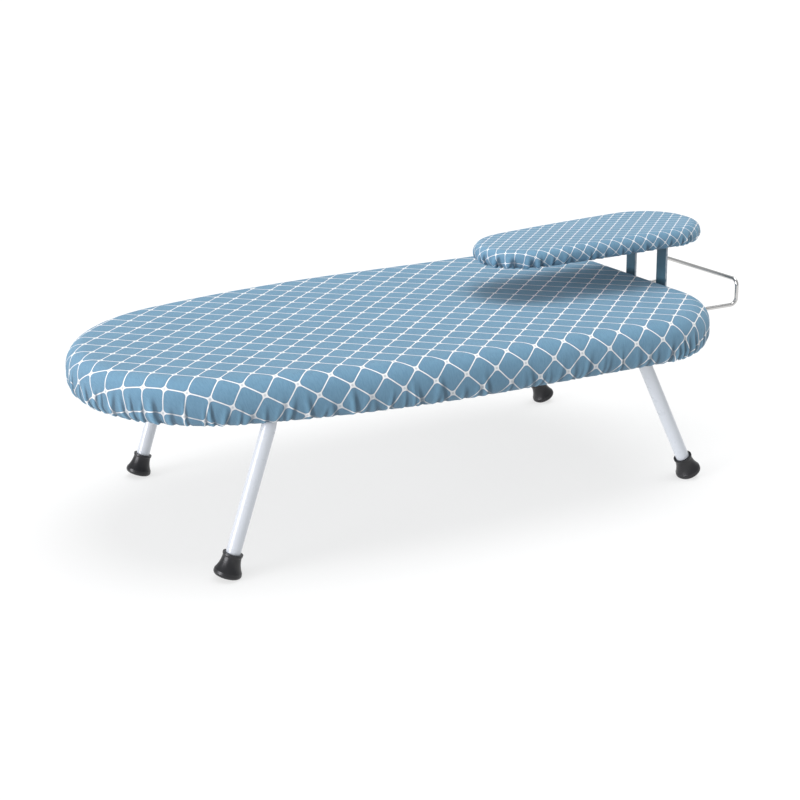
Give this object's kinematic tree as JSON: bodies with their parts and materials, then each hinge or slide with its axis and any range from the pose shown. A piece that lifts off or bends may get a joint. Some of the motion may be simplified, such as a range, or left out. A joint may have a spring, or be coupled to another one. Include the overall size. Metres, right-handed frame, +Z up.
{
  "type": "tabletop ironing board",
  "caption": "Small padded ironing board on two folding leg frames, with a raised sleeve board at the tail and a pull-out wire iron rest.",
  "frame": {"origin": "bottom centre of the whole object's box: the feet stand on z = 0, and the middle of the length runs from the nose to the pulled-out iron rest", "axes": "+X from the nose to the tail, +Y to the left when facing the tail, +Z up"},
  "size_m": [0.6867, 0.36, 0.2328],
  "materials": {
    "print_cloth": "cotton with a white net print",
    "draw_cord": "braided cord",
    "felt": "needled felt",
    "grey_steel": "powder coat, satin",
    "white_tube": "powder coat, semi-gloss",
    "black_rubber": "moulded, satin",
    "black_plastic": "moulded nylon",
    "chrome_wire": "bright plated",
    "slate_paint": "slate-blue paint, satin",
    "zinc": "zinc plated"
  },
  "bodies": {
    "board": {"board_cover": "print_cloth", "board_draw_cord": "draw_cord", "board_pad": "felt", "deck_panel": "grey_steel", "deck_rim": "grey_steel", "front_channel": "grey_steel", "front_saddle_left": "grey_steel", "front_clip_left": "black_plastic", "front_saddle_right": "grey_steel", "front_clip_right": "black_plastic", "rear_channel": "grey_steel", "rear_saddle_left": "grey_steel", "rear_clip_left": "black_plastic", "rear_saddle_right": "grey_steel", "rear_clip_right": "black_plastic", "saddle_rivets": "zinc", "rest_guide_left": "black_plastic", "strap_socket_left": "slate_paint", "rest_guide_right": "black_plastic", "strap_socket_right": "slate_paint", "guide_screws": "zinc", "clip_screws": "zinc", "tail_bracket": "grey_steel", "socket_bolts": "zinc", "socket_nuts": "zinc"},
    "front_legs": {"front_leg_tube": "white_tube", "front_stop_plate": "white_tube", "front_foot_left": "black_rubber", "front_foot_right": "black_rubber"},
    "rear_legs": {"rear_leg_tube": "white_tube", "rear_stop_plate": "white_tube", "rear_foot_left": "black_rubber", "rear_foot_right": "black_rubber"},
    "iron_rest": {"iron_rest_wire": "chrome_wire"},
    "sleeve_board": {"sleeve_strap_left": "slate_paint", "sleeve_strap_right": "slate_paint", "sleeve_deck": "grey_steel", "sleeve_pad": "felt", "sleeve_cover": "print_cloth", "sleeve_draw_cord": "draw_cord", "sleeve_screws": "zinc"}
  },
  "joints": [
    {"name": "front_leg_fold", "type": "hinge", "parent": "board", "child": "front_legs", "pos_m": [-0.2034, 0, 0.15], "axis": [0, -1, 0], "range_deg": [0, 109.7]},
    {"name": "rear_leg_fold", "type": "hinge", "parent": "board", "child": "rear_legs", "pos_m": [0.1616, 0, 0.15], "axis": [0, 1, 0], "range_deg": [0, 115.5]},
    {"name": "iron_rest_slide", "type": "slide", "parent": "board", "child": "iron_rest", "axis": [-1, 0, 0], "range_m": [0, 0.05]},
    {"name": "sleeve_board_lift", "type": "slide", "parent": "board", "child": "sleeve_board", "axis": [0, 0, 1], "range_m": [0, 0.03]}
  ]
}
